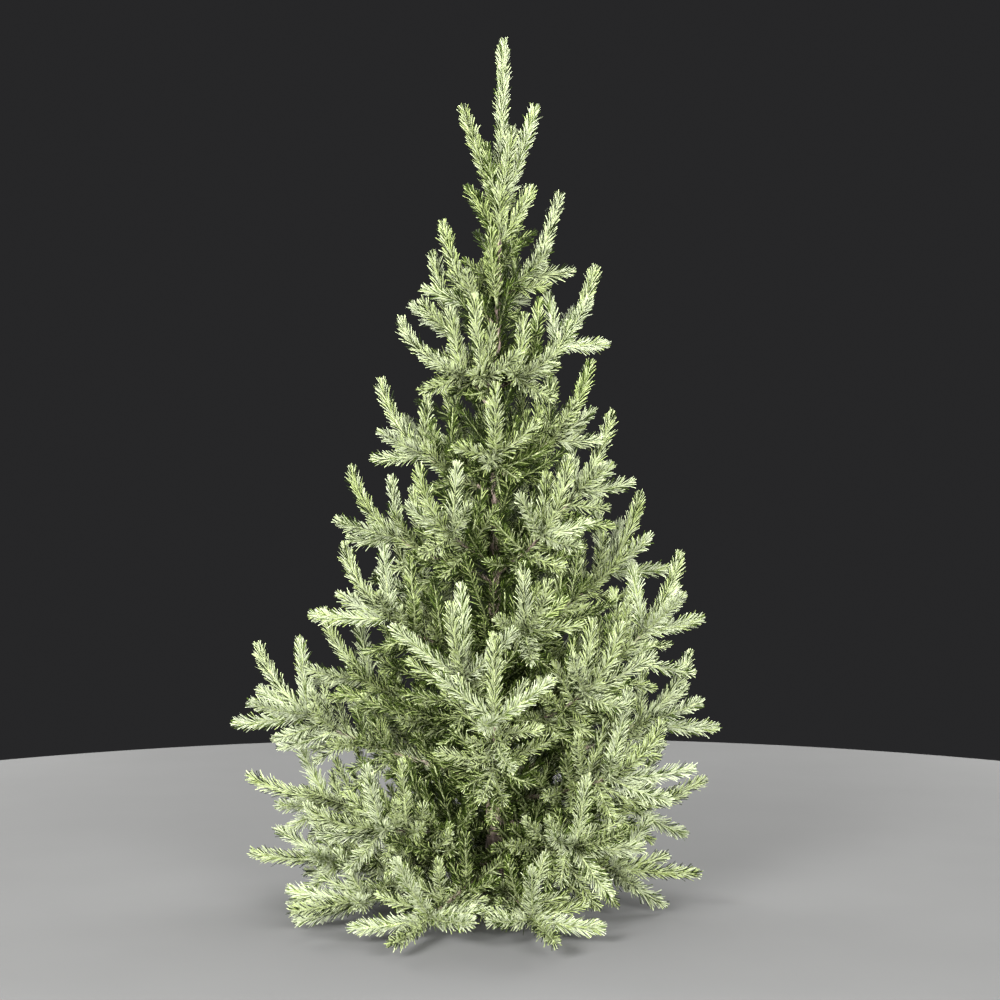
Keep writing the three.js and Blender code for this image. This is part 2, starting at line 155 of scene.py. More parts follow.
# The boughs of each tier leave the trunk at the tier's foot, as in the frame. Each is given by its way, its
# reach from the trunk and the height of its tip. Upright is the share of the rise in the last stretch, core
# how far the inner twigs stand out, and shoots the length of the side shoots.
tiers = [
    {"tier": 2, "foot": 1.610, "upright": 0.6, "core": 0.030, "shoots": 0.115,
     "boughs": [(352, 0.165, 1.905), (190, 0.150, 1.830), (262, 0.130, 1.795), (75, 0.145, 1.845)]},
    {"tier": 3, "foot": 1.390, "upright": 0.6, "core": 0.040, "shoots": 0.125,
     "boughs": [(8, 0.270, 1.715), (160, 0.185, 1.760), (205, 0.275, 1.560),
                (252, 0.190, 1.615), (318, 0.250, 1.545), (95, 0.220, 1.665)]},
    {"tier": 4, "foot": 1.160, "upright": 0.6, "core": 0.048, "shoots": 0.135,
     "boughs": [(345, 0.260, 1.450), (178, 0.310, 1.405), (270, 0.265, 1.375),
                (120, 0.280, 1.440), (52, 0.262, 1.420)]},
    {"tier": 5, "foot": 0.930, "upright": 0.6, "core": 0.058, "shoots": 0.150,
     "boughs": [(0, 0.315, 1.315), (168, 0.405, 1.165), (235, 0.340, 1.165),
                (305, 0.330, 1.185), (85, 0.350, 1.225)]},
    {"tier": 6, "foot": 0.705, "upright": 0.6, "core": 0.068, "shoots": 0.165,
     "boughs": [(10, 0.405, 1.095), (200, 0.420, 0.960), (288, 0.430, 0.875),
                (130, 0.440, 0.975), (60, 0.430, 0.985)]},
    {"tier": 7, "foot": 0.500, "upright": 0.6, "core": 0.076, "shoots": 0.175,
     "boughs": [(352, 0.500, 0.935), (172, 0.475, 0.775), (256, 0.440, 0.815),
                (310, 0.490, 0.765), (72, 0.510, 0.795)]},
    {"tier": 8, "foot": 0.335, "upright": 0.6, "core": 0.080, "shoots": 0.180,
     "boughs": [(182, 0.640, 0.685), (270, 0.500, 0.745), (356, 0.525, 0.665),
                (318, 0.560, 0.520), (60, 0.570, 0.615), (125, 0.590, 0.615)]},
    {"tier": 9, "foot": 0.205, "upright": 0.45, "core": 0.080, "shoots": 0.185,
     "boughs": [(225, 0.620, 0.310), (300, 0.620, 0.285), (14, 0.595, 0.300),
                (90, 0.590, 0.310), (172, 0.680, 0.320)]},
    {"tier": 10, "foot": 0.095, "upright": 0.3, "core": 0.060, "shoots": 0.180,
     "boughs": [(198, 0.655, 0.165), (222, 0.665, 0.070), (250, 0.695, 0.042),
                (282, 0.680, 0.048), (338, 0.560, 0.115), (80, 0.560, 0.060)]},
]

bough = {
    "firstRun": 0.5,  # the first stretch, as a share of the reach
    "firstRise": 0.24,  # and its share of the rise
    "lastRun": 0.12,  # the least run of the last stretch
    "outward": 14,  # how far that stretch leans away from the trunk
    "stagger": 0.056,  # how much lower every second bough of a tier sits
    "lowStagger": 0.3,  # but no more than this share of the tier's height
    "footSpread": 0.016,
    "terminal": 0.225,  # the clean last shoot
    "young": 0.24,  # the last stretch has smooth young wood instead of bark
    "youngRadius": 0.0056,
    "overlap": 0.02,  # share of the bough on which the bark runs on inside the young wood
    "lengths": (0.3, 0.7),  # a short bough and a long one
    "rootRadii": (0.0055, 0.0105),  # and how thick their wood is at the trunk
    "tipRadius": 0.0038,  # of the bark, under the young wood
    "taper": 0.8,
    "sides": 7,
    "ringStep": 0.011,
    "scaleSize": 0.005,
    "scaleDepth": 0.12,  # as a share of the radius
}
lineStep = 0.012  # between two points along a bough or shoot


def boughLine(tier, index):
    way, reach, tip = tier["boughs"][index]
    out = wayVector(way)
    drop = min(bough["stagger"], tier["foot"] * bough["lowStagger"]) if index % 2 else 0
    foot = tier["foot"] - drop + bough["footSpread"] * spread(tier["tier"], index, 3)
    rise = tip - foot
    steep = abs(rise) * tier["upright"]
    lean = math.tan(math.radians(bough["outward"]))
    middle = trunkMiddle(foot) * [1, 1, 0]
    last = max(steep * lean, reach * bough["lastRun"])
    runs = [0, reach * bough["firstRun"], reach - last, reach]
    heights = [foot, foot + rise * bough["firstRise"], tip - steep, tip]
    corners = [middle + out * run + upward * height for run, height in zip(runs, heights)]
    t = np.linspace(0, 1, 80)[:, None]
    curve = (
        corners[0] * (1 - t) ** 3
        + corners[1] * 3 * t * (1 - t) ** 2
        + corners[2] * 3 * t**2 * (1 - t)
        + corners[3] * t**3
    )
    return evenSteps(curve, lineStep)


# A shoot that starts straight and curves up, by a share of its length.
def shootLine(root, way, length, lift):
    t = np.linspace(0, 1, max(3, round(length / lineStep) + 1))[:, None]
    return root + way * length * t + upward * length * lift * t * t


# A direction that leaves a line's heading by an angle, on the side that roll names.
def sideWay(ahead, angle, roll):
    level, top = crossings(ahead)
    across = level * math.cos(roll) + top * math.sin(roll)
    return unit(ahead * math.cos(angle) + across * math.sin(angle))


room = {
    "apart": {"last": 0.026, "side": 0.033, "twig": 0.028, "inner": 0.025},  # least distance between shoots
    "freeFoot": 0.35,  # the share of a shoot that may stand close to others
    "spotStep": 0.013,  # between two of the points that are compared
    "mostSpots": 60000,
    "offGround": 0.019,  # the least height of a shoot
    "clearance": 0.004,  # and what a shoot along the ground keeps over it
}

shoots = []  # each {"line", "kind", "radius"}
spots = np.zeros((room["mostSpots"], 3))  # points along the shoots that have grown
spotCount = 0


def spotsOf(line):
    count = max(2, round(lineLength(line) / room["spotStep"]))
    return pointsAt(line, np.linspace(room["freeFoot"], 1, count))


# Whether the outer part of a shoot keeps its distance from all that has grown.
def isFree(line, apart):
    own = spotsOf(line)
    if own[:, 2].min() < room["offGround"]:
        return False
    middle = own[len(own) // 2]
    reach = np.abs(own - middle).max() + apart
    known = spots[:spotCount]
    near = known[(np.abs(known - middle) < reach).all(1)]
    if len(near) == 0:
        return True
    return ((near[None] - own[:, None]) ** 2).sum(2).min() > apart**2


def addShoot(line, kind, radius):
    global spotCount
    shoots.append({"line": line, "kind": kind, "radius": radius})
    points = spotsOf(line)
    spots[spotCount:spotCount + len(points)] = points
    spotCount += len(points)


# Grows the longest shoot of the given lengths that has room, and says where it runs.
def grow(root, way, lengths, kind, values):
    leastRise = (room["offGround"] + room["clearance"] - root[2]) / lengths[0]
    if way[2] < leastRise:
        way = unit(np.array([way[0], way[1], leastRise]))  # it lies along the ground
    for length in lengths:
        line = shootLine(root, way, length, values["lift"])
        if isFree(line, room["apart"][kind]):
            addShoot(line, kind, values["radius"])
            return line
    return None


sideShoot = {
    "spacing": 0.086,  # between two groups along a bough
    "bareFoot": 0.045,  # none this near the trunk
    "angle": 58,  # between a bough and its side shoots
    "lastAngle": 50,  # and at the foot of the last shoot
    "angleSpread": 8,
    "rollSpread": 18,
    "levelRise": 0.55,  # a bough that rises less than this has them spread flat
    "shortShare": 0.72,  # the length of those half-way between two groups
    "lengthSpread": 0.2,
    "shorter": 0.8,  # each try is this much shorter than the one before
    "tries": 4,
    "lift": 0.12,
    "radius": 0.0042,
}


# Where the shoots of one group stand round a bough: 0 and 180 are level with it, and 90 is its upper side.
def rollsAt(station, isShort, isLevel):
    if isShort:
        return [20, 160, 230, 310] if isLevel else [50, 130, 230, 310]
    if station == 0:
        return [-8, 188, 268, 88]
    if isLevel:
        return [12, 168, 75, 285] if station % 2 else [-8, 188, 250, 100]
    return [24, 156, 92, 270] if station % 2 else [-8, 188, 268]


# The side shoots that a bough would like to grow, from its tip inwards.
def sideShoots(tier, index, line, isShort):
    length = lineLength(line)
    first = bough["terminal"] + (sideShoot["spacing"] / 2 if isShort else 0)
    stations = math.ceil((length - sideShoot["bareFoot"] - first) / sideShoot["spacing"])
    for station in range(max(0, stations)):
        share = 1 - (first + station * sideShoot["spacing"]) / length
        root, ahead = pointsAt(line, share), headingsAt(line, share)
        isLevel = abs(ahead[2]) < sideShoot["levelRise"]
        for place, roll in enumerate(rollsAt(station, isShort, isLevel)):
            keys = (tier["tier"], index, int(isShort), station, place)
            turn = math.radians(roll + sideShoot["rollSpread"] * spread(*keys, 1))
            angle = sideShoot["angle"] if station or isShort else sideShoot["lastAngle"]
            way = sideWay(ahead, math.radians(angle + sideShoot["angleSpread"] * spread(*keys, 2)), turn)
            full = tier["shoots"] * (sideShoot["shortShare"] if isShort else 1)
            full *= 1 + sideShoot["lengthSpread"] * spread(*keys, 3)
            kind = "last" if station == 0 and not isShort else "side"
            yield root, way, full, kind, keys


twig = {
    "spacing": 0.027,  # between two groups along a side shoot
    "rolls": [0, 180, 90, 270],  # a level pair, one above and one below
    "rollSpread": 24,
    "angle": 46,
    "angleSpread": 9,
    "share": 0.42,  # its length, as a share of what lies ahead of it
    "shortest": 0.026,
    "longest": ([0.5, 0.9], [0.130, 0.080]),  # at two heights
    "lengthSpread": 0.22,
    "shorter": 0.7,  # for those above and below, and for the second try
    "spacingSpread": 0.2,
    "bareTip": 0.060,  # none on this last stretch of a side shoot
    "bareFoot": 0.018,
    "lift": 0.12,
    "radius": 0.0032,
}


# Twigs along a side shoot: most lie level with it, and some stand above or hang below it.
def addTwigs(line, keys):
    length = lineLength(line)
    longest = np.interp(line[0, 2], *twig["longest"])
    station = 0
    behind = twig["bareTip"]
    while behind < length - twig["bareFoot"]:
        share = 1 - behind / length
        root, ahead = pointsAt(line, share), headingsAt(line, share)
        for place, roll in enumerate(twig["rolls"]):
            turn = math.radians(roll + twig["rollSpread"] * spread(*keys, station, place, 5))
            angle = math.radians(twig["angle"] + twig["angleSpread"] * spread(*keys, station, place, 6))
            wanted = behind * twig["share"] + twig["shortest"] * twig["shorter"]
            wanted = min(longest, wanted) * (1 + twig["lengthSpread"] * spread(*keys, station, place, 7))
            if place > 1:
                wanted *= twig["shorter"]
            if wanted > twig["shortest"]:
                grow(root, sideWay(ahead, angle, turn), [wanted, wanted * twig["shorter"]], "twig", twig)
        behind += twig["spacing"] * (1 + twig["spacingSpread"] * spread(*keys, station, 8))
        station += 1


innerTwig = {
    "spacing": 0.022,  # between two pairs along a bough
    "behindLast": 0.02,  # they begin this far behind the last shoot
    "bareFoot": 0.05,
    "firstLength": 0.03,
    "coreShare": 1.35,  # their full length, against the tier's core
    "fullAfter": 0.08,  # the stretch in which they reach it
    "lengthSpread": 0.25,
    "angle": 56,
    "turn": 2.4,  # radians from one pair to the next
    "turnSpread": 0.4,
    "tries": [1, 0.75, 0.5],
    "lift": 0.15,
    "radius": 0.0032,
}


# Short twigs all round a bough that close up the inside of the crown.
def addInnerTwigs(tier, index, line):
    length = lineLength(line)
    behind = bough["terminal"] + innerTwig["behindLast"]
    station = 0
    while behind < length - innerTwig["bareFoot"]:
        share = 1 - behind / length
        root, ahead = pointsAt(line, share), headingsAt(line, share)
        full = min(1, (behind - bough["terminal"]) / innerTwig["fullAfter"])
        wanted = mix(innerTwig["firstLength"], tier["core"] * innerTwig["coreShare"], full)
        wanted *= 1 + innerTwig["lengthSpread"] * spread(tier["tier"], index, station, 9)
        for half in (0, 1):
            turn = station * innerTwig["turn"] + half * math.pi
            turn += innerTwig["turnSpread"] * spread(tier["tier"], index, station, half, 10)
            way = sideWay(ahead, math.radians(innerTwig["angle"]), turn)
            grow(root, way, [wanted * part for part in innerTwig["tries"]], "inner", innerTwig)
        behind += innerTwig["spacing"]
        station += 1


leader = {
    "foot": 1.835,
    "tip": 2.350,
    "point": 0.022,  # how far its needles reach past its wood
    "points": 44,
    "radius": 0.0068,
    "ringHeight": 1.868,
    "ringStagger": 0.014,
    "ringWays": [352, 62, 128, 184, 232, 292],
    "ringLengths": [0.255, 0.205, 0.185, 0.245, 0.155, 0.180],
    "ringTilt": 25,
    "ringTiltSpread": 4,
    "ringLift": 0.16,
    "ringRadius": 0.0048,
    "lowerWays": [20, 90, 158, 215, 270, 325],  # shorter shoots round the trunk below the ring
    "lowerDrop": 0.02,
    "lowerStagger": 0.025,
    "lowerTilt": 38,
    "lowerTiltSpread": 6,
    "lowerLength": 0.13,
    "lowerLengthSpread": 0.2,
    "lowerLift": 0.12,
    "lowerRadius": 0.0042,
}


def leaderWay(way, tilt):
    return wayVector(way) * math.sin(math.radians(tilt)) + upward * math.cos(math.radians(tilt))


def addLeader():
    heights = np.linspace(leader["foot"], leader["tip"] - leader["point"], leader["points"])
    addShoot(trunkMiddle(heights), "leader", leader["radius"])
    for index, (way, length) in enumerate(zip(leader["ringWays"], leader["ringLengths"])):
        root = trunkMiddle(leader["ringHeight"] + leader["ringStagger"] * (index % 2))
        start = leaderWay(way, leader["ringTilt"] + leader["ringTiltSpread"] * spread(1, index))
        addShoot(shootLine(root, start, length, leader["ringLift"]), "last", leader["ringRadius"])
    for index, way in enumerate(leader["lowerWays"]):
        root = trunkMiddle(leader["foot"] - leader["lowerDrop"] - leader["lowerStagger"] * (index % 2))
        start = leaderWay(way, leader["lowerTilt"] + leader["lowerTiltSpread"] * spread(2, index))
        length = leader["lowerLength"] * (1 + leader["lowerLengthSpread"] * spread(3, index))
        addShoot(shootLine(root, start, length, leader["lowerLift"]), "last", leader["lowerRadius"])


trunkShoot = {
    "lowFrom": 0.07,
    "lowSpacing": 0.008,
    "highFrom": 0.6,
    "highSpacing": 0.013,
    "belowLeader": 0.02,
    "turn": 2.4,  # radians from one group of three to the next
    "flatRise": ([0.1, 0.5], [6, 14]),  # at two heights
    "steepRise": ([0.5, 1.3], [34, 50]),  # of every third
    "lengths": ([0.1, 0.5, 1.0, 1.4, 1.8], [0.46, 0.36, 0.23, 0.16, 0.09]),  # at five heights
    "lengthSpread": 0.25,
    "tries": [1, 0.8, 0.6, 0.4],
    "lift": 0.12,
    "radius": 0.0032,
}


# Shoots that leave the trunk between two tiers of boughs, by turns steep and flat.
def addTrunkShoots():
    found = []
    low = np.arange(trunkShoot["lowFrom"], trunkShoot["highFrom"], trunkShoot["lowSpacing"])
    end = leader["foot"] - trunkShoot["belowLeader"]
    high = np.arange(trunkShoot["highFrom"], end, trunkShoot["highSpacing"])
    for station, height in enumerate(np.append(low, high)):
        root = trunkMiddle(height)
        for third in (0, 1, 2):
            way = wayVector(math.degrees(station * trunkShoot["turn"]) + 120 * third)
            slope = trunkShoot["flatRise" if (station + third) % 3 else "steepRise"]
            rise = math.radians(np.interp(height, *slope))
            start = unit(way * math.cos(rise) + upward * math.sin(rise))
            length = np.interp(height, *trunkShoot["lengths"])
            length *= 1 + trunkShoot["lengthSpread"] * spread(20, station, third)
            line = grow(root, start, [length * part for part in trunkShoot["tries"]], "inner", trunkShoot)
            if line is not None:
                found.append((line, (20, station, third, 0, 0)))
    return found


# The side shoots of all boughs grow by turns, from the tips inwards, so that none crowds out another.
def addSideShoots():
    wanted = []
    for tier, index, line in boughLines:
        wanted += [list(sideShoots(tier, index, line, isShort)) for isShort in (False, True)]
    found = []
    for turn in range(max(len(row) for row in wanted)):
        for root, way, full, kind, keys in [row[turn] for row in wanted if turn < len(row)]:
            lengths = [full * sideShoot["shorter"] ** step for step in range(sideShoot["tries"])]
            line = grow(root, way, lengths, kind, sideShoot)
            if line is not None and kind != "last":
                found.append((line, keys))
    return found


addLeader()
boughLines = []  # each bough's tier, its place in the tier and its line
for tier in tiers:
    boughLines += [(tier, index, boughLine(tier, index)) for index in range(len(tier["boughs"]))]
for tier, index, line in boughLines:
    addShoot(line, "bough", bough["youngRadius"])
sides = addSideShoots()
print("boughs:", len(boughLines), "with", len(sides), "side shoots")
sides += addTrunkShoots()
for tier, index, line in boughLines:
    addInnerTwigs(tier, index, line)
for line, keys in sides:
    addTwigs(line, keys)
total = sum(lineLength(shoot["line"]) for shoot in shoots)
print("shoots in all:", len(shoots), "with a length of", round(total, 1), "m")


def makePiece(name, corners, faces, material, isSmooth=True):
    mesh = bpy.data.meshes.new(name)
    mesh.vertices.add(len(corners))
    mesh.vertices.foreach_set("co", np.asarray(corners, np.float32).ravel())
    mesh.loops.add(faces.size)
    mesh.loops.foreach_set("vertex_index", np.asarray(faces, np.int32).ravel())
    mesh.polygons.add(len(faces))
    size = faces.shape[1]
    mesh.polygons.foreach_set("loop_start", np.arange(0, faces.size, size, dtype=np.int32))
    mesh.polygons.foreach_set("use_smooth", np.full(len(faces), isSmooth))
    mesh.update(calc_edges=True)
    mesh.validate()
    mesh.materials.append(material)
    piece = bpy.data.objects.new(name, mesh)
    bpy.context.scene.collection.objects.link(piece)
    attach(piece, "root")
    return piece


# The corners and triangles of a closed tube over rings of points, with a flat foot and a point at its tip.
def tube(line, radii, sides):
    level, top = crossings(headings(line))
    turns = np.arange(sides) / sides * 2 * math.pi
    ring = level[:, None] * np.cos(turns)[None, :, None] + top[:, None] * np.sin(turns)[None, :, None]
    corners = (line[:, None] + ring * np.asarray(radii)[:, None, None]).reshape(-1, 3)
    return closeRings(corners, len(line), sides, line[0], line[-1] + headings(line)[-1] * radii[-1])


# Triangles between rings of corners, with a fan of them at each end.
def closeRings(corners, rings, sides, foot, tip):
    ring, side = np.meshgrid(np.arange(rings - 1), np.arange(sides), indexing="ij")
    a = (ring * sides + side).ravel()
    b = (ring * sides + (side + 1) % sides).ravel()
    faces = [np.stack([a, b, b + sides], 1), np.stack([a, b + sides, a + sides], 1)]
    last = (rings - 1) * sides
    around = np.arange(sides)
    ahead = (around + 1) % sides
    footCorner, tipCorner = rings * sides, rings * sides + 1
    faces.append(np.stack([ahead, around, np.full(sides, footCorner)], 1))
    faces.append(np.stack([last + around, last + ahead, np.full(sides, tipCorner)], 1))
    return np.vstack([corners, foot, tip]), np.vstack(faces)


# Many small closed forms as the corners and triangles of one mesh.
def joined(parts):
    corners, faces, start = [], [], 0
    for points, triangles in parts:
        corners.append(points)
        faces.append(triangles + start)
        start += len(points)
    return np.vstack(corners), np.vstack(faces)


# Soft random bumps: a value from -1 to 1 that changes over one cell.
def bumps(points, cell, which):
    place = points / cell
    base = np.floor(place).astype(np.int64)
    part = place - base
    part = part * part * (3 - 2 * part)
    total = np.zeros(len(points))
    for corner in np.ndindex(2, 2, 2):
        key = base + np.array(corner)
        mixed = (key[:, 0] * 73856093) ^ (key[:, 1] * 19349663) ^ (key[:, 2] * 83492791)
        mixed ^= which * 2654435761
        value = ((mixed * 1103515245 + 12345) >> 8 & 0xFFFF) / 32767.5 - 1
        weight = np.prod(np.where(np.array(corner), part, 1 - part), axis=1)
        total += value * weight
    return total


def newMaterial(name):
    material = bpy.data.materials.new(name)
    material.use_nodes = True
    shader = material.node_tree.nodes["Principled BSDF"]
    return material, material.node_tree, shader


def addNode(tree, kind, **values):
    node = tree.nodes.new(kind)
    for key, value in values.items():
        if key in node.inputs:
            node.inputs[key].default_value = value
        else:
            setattr(node, key, value)
    return node


barkFinish = {
    "ridge": (0.30, 0.23, 0.190, 1),
    "furrow": (0.115, 0.080, 0.062, 1),
    "lichen": (0.33, 0.34, 0.27, 1),
    "roughness": 0.86,
    "grainScale": 130,
    "grainStretch": 0.34,  # under 1, the grain runs along the trunk
    "furrowEdges": (0.36, 0.62),  # from all furrow to all ridge
    "lichenScale": 16,
    "lichenEdges": (0.54, 0.78),
    "mostLichen": 0.5,
    "bumpDepth": 0.0016,
}


# Turns a noise into patches: nothing under the first edge, and most above the second.
def addEdges(tree, edges, most=1):
    values = {"From Min": edges[0], "From Max": edges[1], "To Max": most}
    return addNode(tree, "ShaderNodeMapRange", **values)


def barkMaterial():
    material, tree, shader = newMaterial("sprucebark")
    place = addNode(tree, "ShaderNodeTexCoord")
    stretch = addNode(tree, "ShaderNodeMapping", Scale=(1, 1, barkFinish["grainStretch"]))
    grain = addNode(tree, "ShaderNodeTexNoise", Scale=barkFinish["grainScale"], Detail=6, Roughness=0.62)
    patches = addNode(tree, "ShaderNodeTexNoise", Scale=barkFinish["lichenScale"], Detail=3, Roughness=0.5)
    tone = addNode(tree, "ShaderNodeMix", data_type="RGBA")
    moss = addNode(tree, "ShaderNodeMix", data_type="RGBA")
    sharpen = addEdges(tree, barkFinish["furrowEdges"])
    pick = addEdges(tree, barkFinish["lichenEdges"], barkFinish["mostLichen"])
    bump = addNode(tree, "ShaderNodeBump", Strength=0.55, Distance=barkFinish["bumpDepth"])
    tone.inputs[6].default_value = barkFinish["furrow"]
    tone.inputs[7].default_value = barkFinish["ridge"]
    moss.inputs[7].default_value = barkFinish["lichen"]
    shader.inputs["Roughness"].default_value = barkFinish["roughness"]
    links = tree.links
    links.new(place.outputs["Object"], stretch.inputs["Vector"])
    links.new(stretch.outputs["Vector"], grain.inputs["Vector"])
    links.new(place.outputs["Object"], patches.inputs["Vector"])
    links.new(grain.outputs["Fac"], sharpen.inputs["Value"])
    links.new(patches.outputs["Fac"], pick.inputs["Value"])
    links.new(sharpen.outputs["Result"], tone.inputs[0])
    links.new(tone.outputs[2], moss.inputs[6])
    links.new(pick.outputs["Result"], moss.inputs[0])
    links.new(moss.outputs[2], shader.inputs["Base Color"])
    links.new(grain.outputs["Fac"], bump.inputs["Height"])
    links.new(bump.outputs["Normal"], shader.inputs["Normal"])
    return material


# The two tones of the wood under the needles: pale on the outer shoots, and olive inside the crown,
# darkened there as painted shade.
twigFinish = {
    "newWood": [(0.10, 0.14, 0.035, 1), (0.38, 0.42, 0.21, 1)],
    # painted shade: the twigs' wood is darkened for the shade inside the crown
    "olderWoodInShade": [(0.035, 0.050, 0.010, 1), (0.17, 0.20, 0.075, 1)],
    "roughness": 0.8,
    "speckleScale": 420,
    "speckleEdges": (0.40, 0.56),
}


def twigMaterial(name):
    material, tree, shader = newMaterial(name)
    place = addNode(tree, "ShaderNodeTexCoord")
    noise = addNode(tree, "ShaderNodeTexNoise", Scale=twigFinish["speckleScale"], Detail=2)
    tone = addNode(tree, "ShaderNodeMix", data_type="RGBA")
    tone.inputs[6].default_value, tone.inputs[7].default_value = twigFinish[name]
    shader.inputs["Roughness"].default_value = twigFinish["roughness"]
    speckle = addEdges(tree, twigFinish["speckleEdges"])
    tree.links.new(place.outputs["Object"], noise.inputs["Vector"])
    tree.links.new(noise.outputs["Fac"], speckle.inputs["Value"])
    tree.links.new(speckle.outputs["Result"], tone.inputs[0])
    tree.links.new(tone.outputs[2], shader.inputs["Base Color"])
    return material


# Needle colours, from the pale young growth at the outside of the crown to its inside, where the darker
# tints are painted shade rather than the needles' own colour.
needleTints = {
    "needles_new": (0.375, 0.412, 0.275, 1),
    "needles_pale": (0.362, 0.404, 0.245, 1),
    "needles_fresh": (0.350, 0.398, 0.208, 1),
    "needles_green": (0.262, 0.316, 0.115, 1),
    # the two darkest tints are painted shade for the inside of the crown
    "needles_half_shade": (0.056, 0.086, 0.013, 1),
    "needles_shade": (0.009, 0.016, 0.001, 1),
}

needleFinish = {
    "roughness": 0.6,
    "specular": 0.12,
}


def needleMaterial(name):
    material, tree, shader = newMaterial(name)
    shader.inputs["Base Color"].default_value = needleTints[name]
    shader.inputs["Roughness"].default_value = needleFinish["roughness"]
    shader.inputs["Specular IOR Level"].default_value = needleFinish["specular"]
    return material


def trunkSurface():
    heights = trunk["height"] * np.linspace(0, 1, trunk["rings"] + 1) ** trunk["ringSpread"]
    middle = trunkMiddle(heights)
    turns = np.arange(trunk["sides"]) / trunk["sides"] * 2 * math.pi
    height, turn = np.meshgrid(heights, turns, indexing="ij")
    radius = np.repeat(trunkRadius(heights)[:, None], trunk["sides"], axis=1)
    ridges = np.cos(turn * trunk["ridges"] + trunk["ridgeTwist"] * np.sin(turn * 2)) * trunk["ridgeDepth"]
    radius *= 1 + ridges * np.exp(-height / trunk["ridgeHeight"])
    east, north = np.cos(turn), np.sin(turn)
    wrap = trunk["scaleWrap"]
    pattern = np.stack([east * wrap, north * wrap, height * trunk["scaleStretch"]], axis=-1).reshape(-1, 3)
    scales = bumps(pattern, trunk["scaleSize"], 1)
    scales += trunk["fineShare"] * bumps(pattern, trunk["scaleSize"] / 2, 2)
    rough = (np.abs(scales) - trunk["midDepth"]).reshape(height.shape)
    radius -= trunk["scaleDepth"] * rough * np.clip(radius / trunk["fullDepthFrom"], trunk["leastDepth"], 1)
    corners = middle[:, None] + radius[..., None] * np.stack([east, north, turn * 0], axis=-1)
    tip = middle[-1] + upward * 0.001
    return closeRings(corners.reshape(-1, 3), len(heights), trunk["sides"], middle[0], tip)


def limbSurface(line, rootRadius):
    fine = evenSteps(line, bough["ringStep"])
    shares = np.linspace(0, 1, len(fine))
    radii = mix(rootRadius, bough["tipRadius"], shares ** bough["taper"])
    sides = bough["sides"]
    corners, faces = tube(fine, radii, sides)
    out = unit(corners[:-2] - np.repeat(fine, sides, axis=0))
    amount = bumps(corners[:-2], bough["scaleSize"], 3) * bough["scaleDepth"] * np.repeat(radii, sides)
    corners[:-2] += out * amount[:, None]
    return corners, faces


# The bark of the trunk and of each bough's old wood.
def addBark(material):
    surfaces = [trunkSurface()]
    short, long = bough["lengths"]
    for tier, index, line in boughLines:
        length = lineLength(line)
        root = mix(*bough["rootRadii"], min(1, (length - short) / (long - short)))
        old = pointsAt(line, np.linspace(0, 1 - bough["young"] / length + bough["overlap"], 60))
        surfaces.append(limbSurface(old, root))
    corners, faces = joined(surfaces)
    bark = makePiece("bark", corners, faces, material)
    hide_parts("trunk", *limbNodes)
    print("bark:", len(faces), "triangles")


wood = {
    "sides": 5,
    "ringStep": 0.04,
    "tipShare": 0.55,  # thickness at the tip, against the root's
}


def addTwigWood(name, kinds, material):
    parts = []
    for shoot in shoots:
        if shoot["kind"] in kinds:
            line = shoot["line"]
            foot = 1 - bough["young"] / lineLength(line) if shoot["kind"] == "bough" else 0
            count = max(2, round((1 - foot) * lineLength(line) / wood["ringStep"])) + 1
            radii = np.linspace(shoot["radius"], shoot["radius"] * wood["tipShare"], count)
            parts.append(tube(pointsAt(line, np.linspace(foot, 1, count)), radii, wood["sides"]))
    corners, faces = joined(parts)
    makePiece(name, corners, faces, material)
    print(name + ":", len(faces), "triangles")


needle = {
    "count": 230000,
    "width": 0.0024,
    "tipShare": 0.8,  # breadth at the tip, against the root's
    # length of the needles, and how densely they stand, by the kind of shoot
    "length": {"leader": 0.030, "last": 0.033, "bough": 0.033, "side": 0.028,
               "twig": 0.025, "inner": 0.027, "trunk": 0.034},
    "lengthSpread": 0.11,
    "density": {"leader": 2.4, "last": 1.7, "bough": 1.7, "side": 1.3,
                "twig": 1.0, "inner": 0.8, "trunk": 1.2},
    "trunkFoot": 0.80,  # the trunk still bears needles above this
    "boughFoot": 0.05,  # a bough bears none nearer to the trunk
    "innerFoot": 0.04,  # share of an inner shoot that is bare
    "rootAngle": 40,  # between a needle and its shoot
    "outerAngle": 31,
    "tipAngle": 18,
    "angleSpread": 0.14,  # radians
    "turn": 2.39996,  # radians round the shoot from one needle to the next
    "turnSpread": 0.6,
    "tipRun": 0.035,  # the stretch before the tip in which they close up
    "tipLength": 0.66,  # and grow shorter
    "tuft": 14,  # more of them round the bud at a shoot's tip
    "tuftOpening": 2.2,  # how far the tuft opens, against the tip's angle
    "lift": 0.10,  # how far they turn up towards the light
    "stemRadius": 0.0030,  # how far out they start
    "offGround": 0.002,
    "mostInPiece": 49000,  # of four triangles each
    "seed": 11,
}

tintRule = {
    # painted shade: the tints darken from the outline to the trunk
    "inside": 5.6,  # the tint at the trunk, where 0 is new and 5 is shade
    "outside": 0.9,  # and at the outline
    "spread": 0.7,
    # painted shade: inner and trunk shoots take darker tints, and the last shoots and boughs paler ones
    "byKind": {"last": -0.7, "bough": -0.7, "inner": 0.5, "trunk": 0.5},
    # painted light and shade: some needles of each spray are stepped lighter or darker, for the shading
    # between single needles
    "lightAndShadeSteps": [-1.4, -0.5, 0.1, 0.6, 2.8, 3.9],  # steps of tint between the needles of one spray
    "heights": [0, 0.3, 0.6, 0.8, 1.2, 1.5, 1.7, 1.9, 2.1],
    "outline": [0.56, 0.6, 0.54, 0.44, 0.34, 0.25, 0.18, 0.09, 0.04],  # the crown's reach at those heights
    "pastOutline": 1.15,  # the most that a shoot counts beyond it
}


